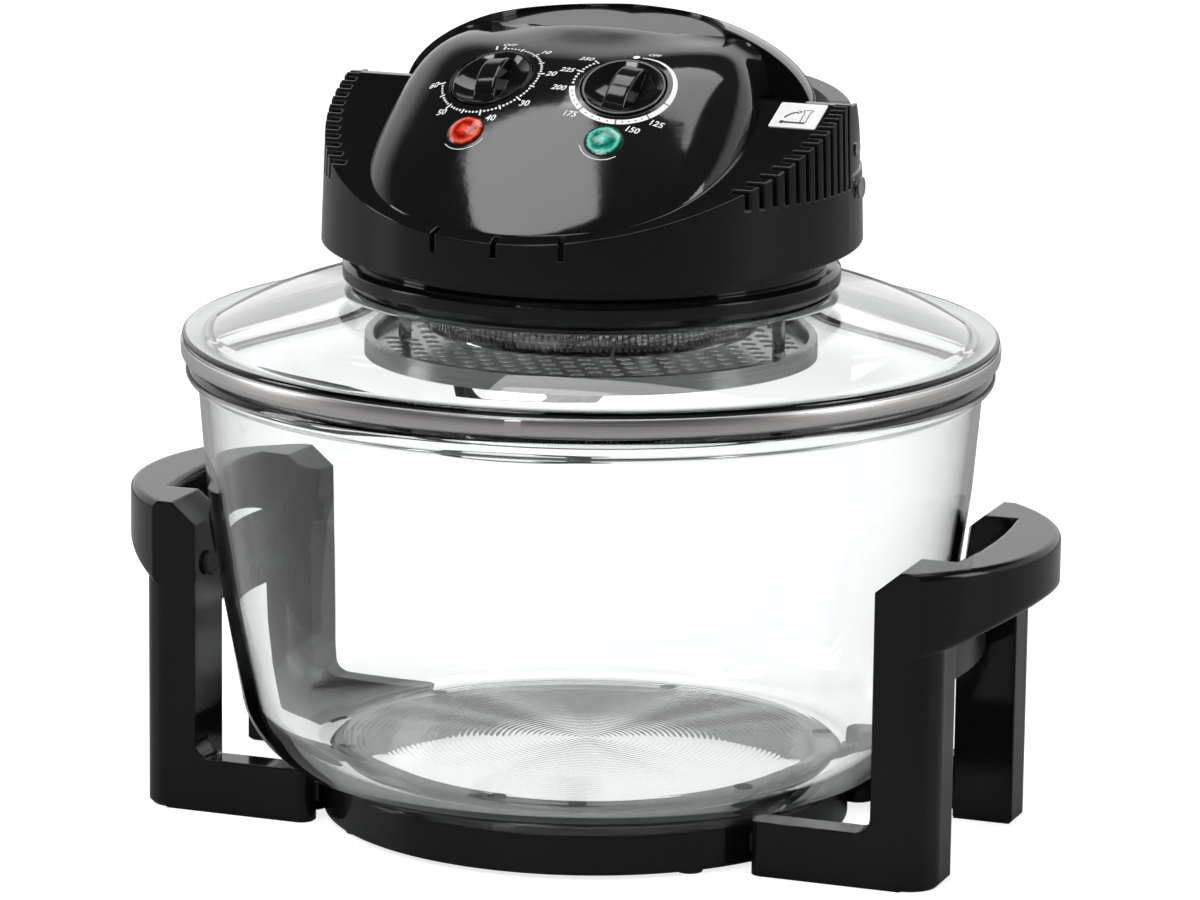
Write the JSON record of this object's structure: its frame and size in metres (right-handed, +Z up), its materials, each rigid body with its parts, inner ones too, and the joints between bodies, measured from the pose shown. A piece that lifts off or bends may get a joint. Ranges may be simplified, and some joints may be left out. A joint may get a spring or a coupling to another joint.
{
  "type": "halogen oven",
  "caption": "Countertop halogen oven: clear glass bowl in a black stand with side grips, lift-off glass lid carrying a lamp heater, fan, timer and thermostat head, and a coiled cord.",
  "frame": {"origin": "centre of the footprint on the table, under the bowl's axis", "axes": "+Z up, the control panel faces -Y, +X to the right seen from the front"},
  "size_m": [0.406, 0.4006, 0.3387],
  "materials": {
    "black_plastic": "glossy moulded",
    "steel": "brushed stainless",
    "screw_steel": "plated",
    "rubber": "matte",
    "bowl_glass": "clear tempered, faint green edge",
    "lamp_glass": "clear quartz",
    "filament": "coiled wire",
    "ceramic": "unglazed",
    "aluminium": "stamped sheet",
    "inner_plastic": "moulded",
    "red_lens": "translucent red",
    "green_lens": "translucent green",
    "indicator": "small glow lamp",
    "sign_white": "printed film",
    "cord_rubber": "satin",
    "brass": "plated pins"
  },
  "bodies": {
    "stand": {"base_ring": "black_plastic", "stand_feet": "rubber", "bowl_pads": "rubber", "right_handle_frame": "black_plastic", "left_handle_frame": "black_plastic", "right_inner_rail": "steel", "left_inner_rail": "steel", "bowl_bumpers": "rubber", "stand_screws": "screw_steel"},
    "bowl": {"glass_bowl": "bowl_glass"},
    "timer": {"timer_knob": "black_plastic", "timer_shaft": "screw_steel"},
    "thermostat": {"temp_knob": "black_plastic", "temp_shaft": "screw_steel"},
    "carry_handle": {"carry_handle": "black_plastic"},
    "fan": {"fan_shaft": "screw_steel", "hot_air_fan": "aluminium", "cooling_fan": "aluminium"},
    "plunger": {"switch_plunger": "inner_plastic"},
    "lid": {"lid_collar": "black_plastic", "vent_neck": "black_plastic", "main_cover": "black_plastic", "control_dome": "black_plastic", "plug_body": "black_plastic", "lid_band": "steel", "clamp_ring": "steel", "guard_plate": "steel", "heat_shield": "steel", "motor_plate": "steel", "guard_standoffs": "steel", "side_screws": "screw_steel", "handle_pins": "screw_steel", "fan_motor": "screw_steel", "lid_seal": "rubber", "glass_lid": "bowl_glass", "halogen_lamp": "lamp_glass", "lamp_filament": "filament", "lamp_holders": "ceramic", "timer_case": "inner_plastic", "thermostat_case": "inner_plastic", "terminal_block": "inner_plastic", "safety_switch": "inner_plastic", "power_lens": "red_lens", "heat_lens": "green_lens", "power_indicator": "indicator", "heat_indicator": "indicator", "handle_sign": "sign_white", "cord_lead": "cord_rubber", "cord_coil": "cord_rubber", "cord_tail": "cord_rubber", "strain_relief": "cord_rubber", "cord_tie": "cord_rubber", "plug_pins": "brass"}
  },
  "joints": [
    {"name": "bowl_lift", "type": "slide", "parent": "stand", "child": "bowl", "axis": [0, 0, 1], "range_m": [0, 0.2]},
    {"name": "lid_lift", "type": "slide", "parent": "bowl", "child": "lid", "axis": [0, 0, 1], "range_m": [0, 0.15]},
    {"name": "timer_turn", "type": "hinge", "parent": "lid", "child": "timer", "pos_m": [-0.02816, -0.03866, 0.311], "axis": [-0.0982, -0.5045, 0.8578], "range_deg": [-300, 0]},
    {"name": "temp_turn", "type": "hinge", "parent": "lid", "child": "thermostat", "pos_m": [0.02816, -0.03866, 0.311], "axis": [0.0982, -0.5045, 0.8578], "range_deg": [-300, 0]},
    {"name": "handle_raise", "type": "hinge", "parent": "lid", "child": "carry_handle", "pos_m": [0, 0.015, 0.289], "axis": [1, 0, 0], "range_deg": [0, 75]},
    {"name": "fan_spin", "type": "hinge", "parent": "lid", "child": "fan", "pos_m": [0, 0, 0.23], "axis": [0, 0, 1], "continuous": true},
    {"name": "safety_press", "type": "slide", "parent": "lid", "child": "plunger", "axis": [0, 0, 1], "range_m": [0, 0.0026]}
  ],
  "couplings": [
    {"joint": "safety_press", "follows": "handle_raise", "m_per_rad": 0.0019}
  ]
}
